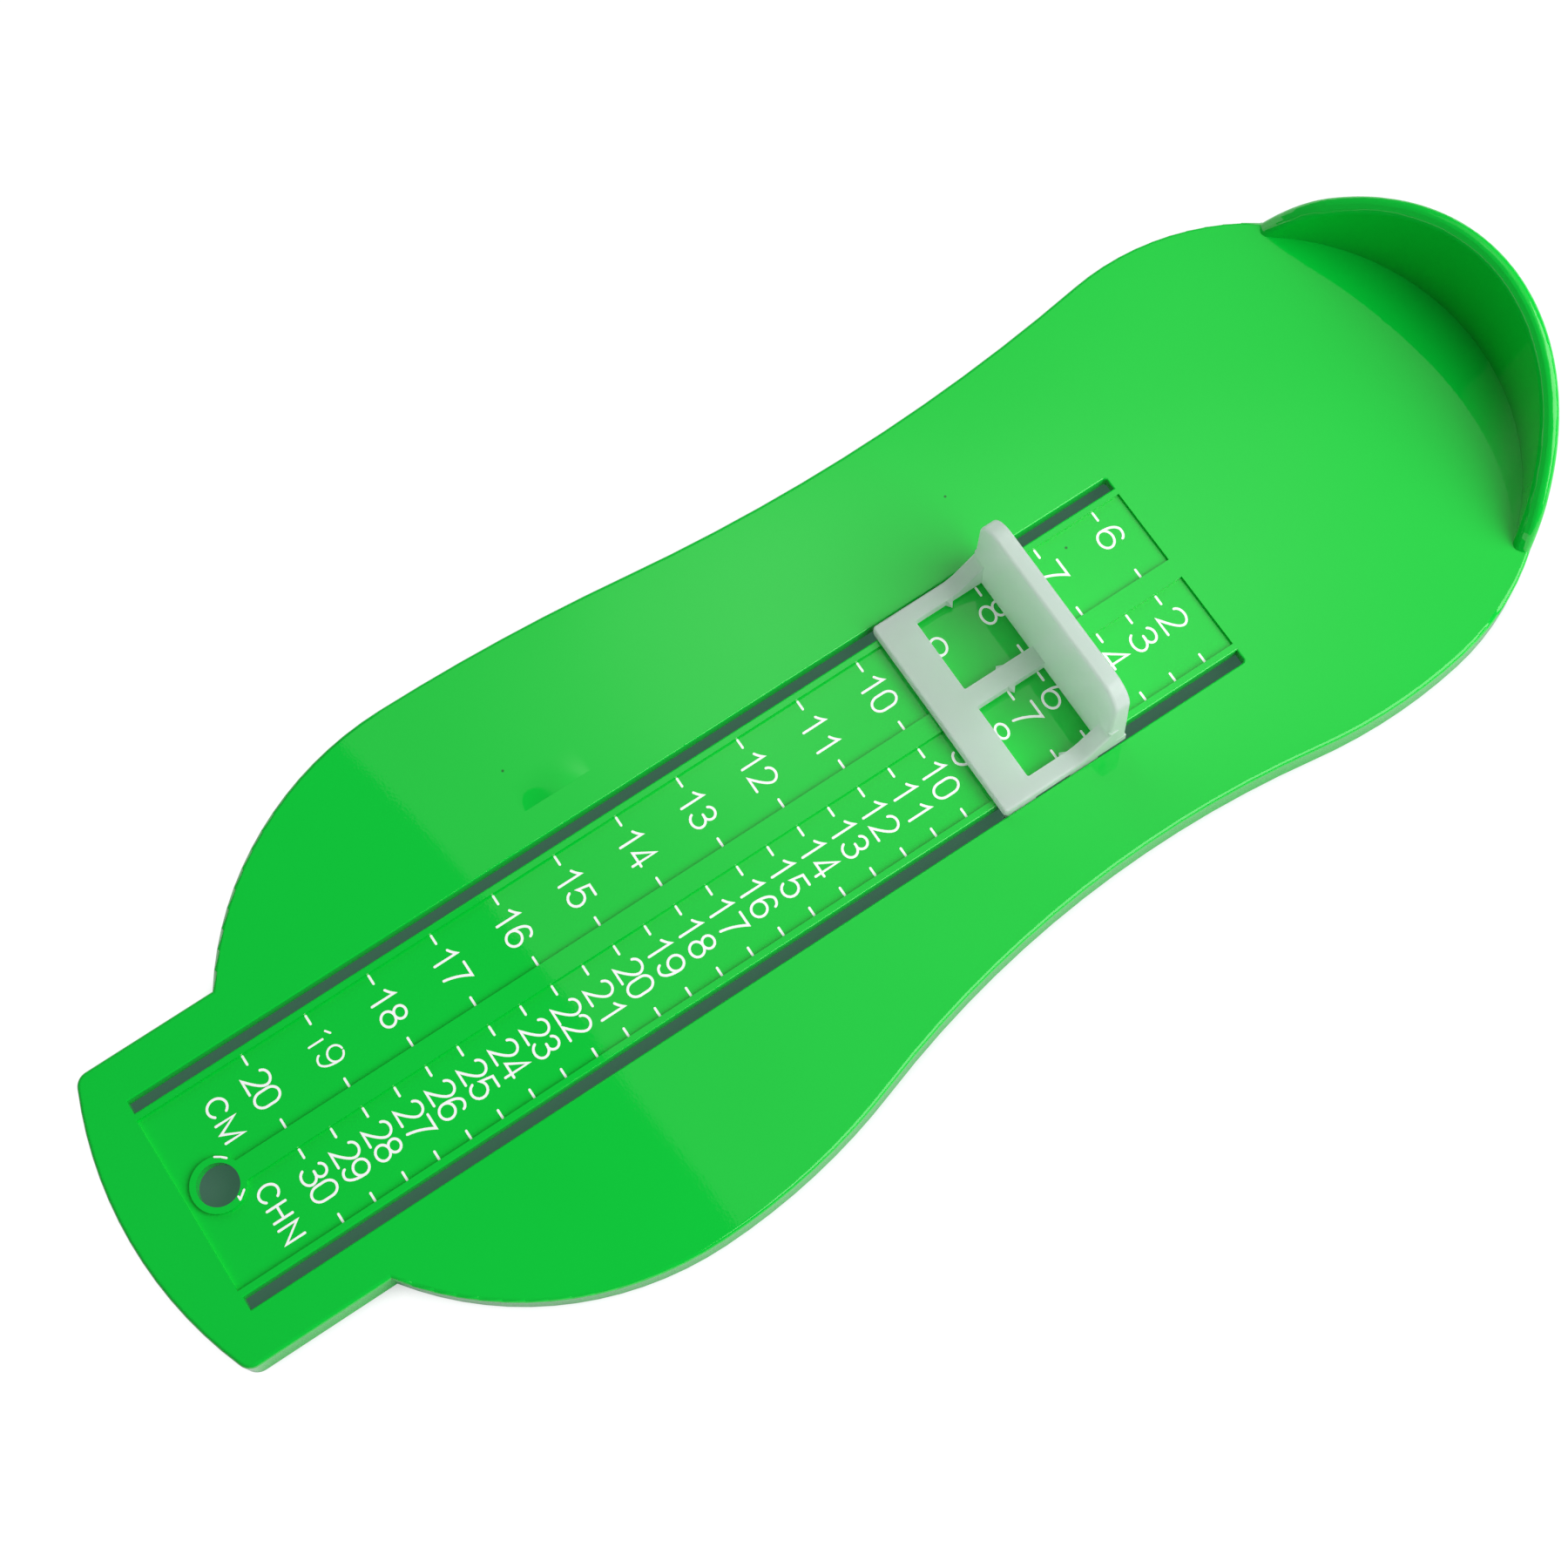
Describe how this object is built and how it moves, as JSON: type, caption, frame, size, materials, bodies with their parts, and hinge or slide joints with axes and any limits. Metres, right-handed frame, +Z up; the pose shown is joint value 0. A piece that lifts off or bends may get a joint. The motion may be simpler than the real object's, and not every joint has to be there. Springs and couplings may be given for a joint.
{
  "type": "foot measuring device",
  "caption": "Sole-shaped plastic foot gauge with a curved heel wall, a printed length scale and a sliding toe stop that is read against the scale.",
  "frame": {"origin": "on the surface that the gauge rests on, under the middle of the whole object", "axes": "+X across the sole, to the right with the heel up; +Y along the ruler towards the heel wall; +Z up out of the plate"},
  "size_m": [0.089, 0.228, 0.0243],
  "materials": {
    "green_plastic": "glossy moulded plastic",
    "milky_plastic": "milky translucent moulded plastic"
  },
  "bodies": {
    "base": {"base": "green_plastic"},
    "toe_slide": {"toe_slide": "milky_plastic"}
  },
  "joints": [
    {"name": "toe_slide_travel", "type": "slide", "parent": "base", "child": "toe_slide", "axis": [0, -1, 0], "range_m": [-0.0245, 0.12055]}
  ]
}
